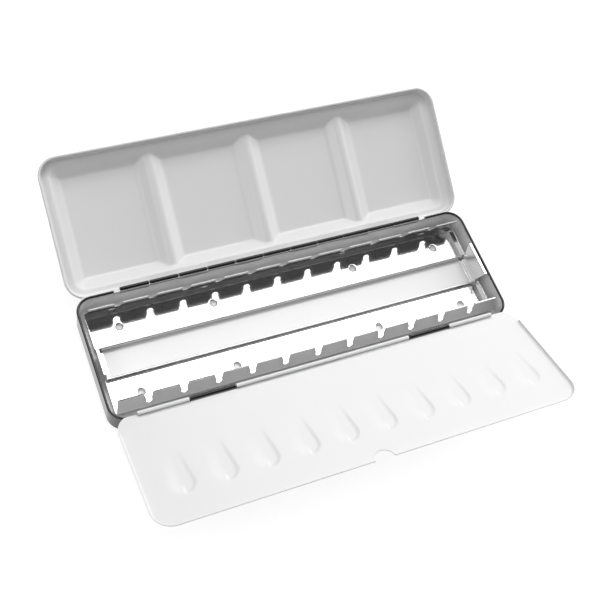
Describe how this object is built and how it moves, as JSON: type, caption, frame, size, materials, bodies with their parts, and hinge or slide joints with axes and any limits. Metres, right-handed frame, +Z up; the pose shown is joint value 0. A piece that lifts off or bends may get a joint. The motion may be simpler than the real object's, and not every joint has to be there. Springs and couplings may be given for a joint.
{
  "type": "watercolor box",
  "caption": "Flat pressed-metal watercolor box with a hinged lid of sunk mixing wells, a fold-out mixing flap and a slotted tin tray for pans.",
  "frame": {"origin": "centre of the base's underside, on the surface that the box stands on", "axes": "+X along the box, to the right of someone painting; +Y towards the lid's hinge; +Z up"},
  "size_m": [0.2026, 0.1779, 0.041],
  "materials": {
    "black_lacquer": "gloss",
    "white_lacquer": "gloss",
    "tin_plate": "bright",
    "steel_wire": "satin"
  },
  "bodies": {
    "base": {"base_shell": "black_lacquer", "pan_tray": "tin_plate", "lid_hinge_wire": "steel_wire", "flap_hinge_wire": "steel_wire"},
    "lid": {"lid_shell": "white_lacquer"},
    "flap": {"mixing_flap": "white_lacquer"}
  },
  "joints": [
    {"name": "lid_hinge", "type": "hinge", "parent": "base", "child": "lid", "pos_m": [0, 0.0317, 0.0112], "axis": [1, 0, 0], "range_deg": [0, 149]},
    {"name": "flap_hinge", "type": "hinge", "parent": "base", "child": "flap", "pos_m": [0, -0.0302, 0.0138], "axis": [-1, 0, 0], "range_deg": [0, 160]}
  ]
}
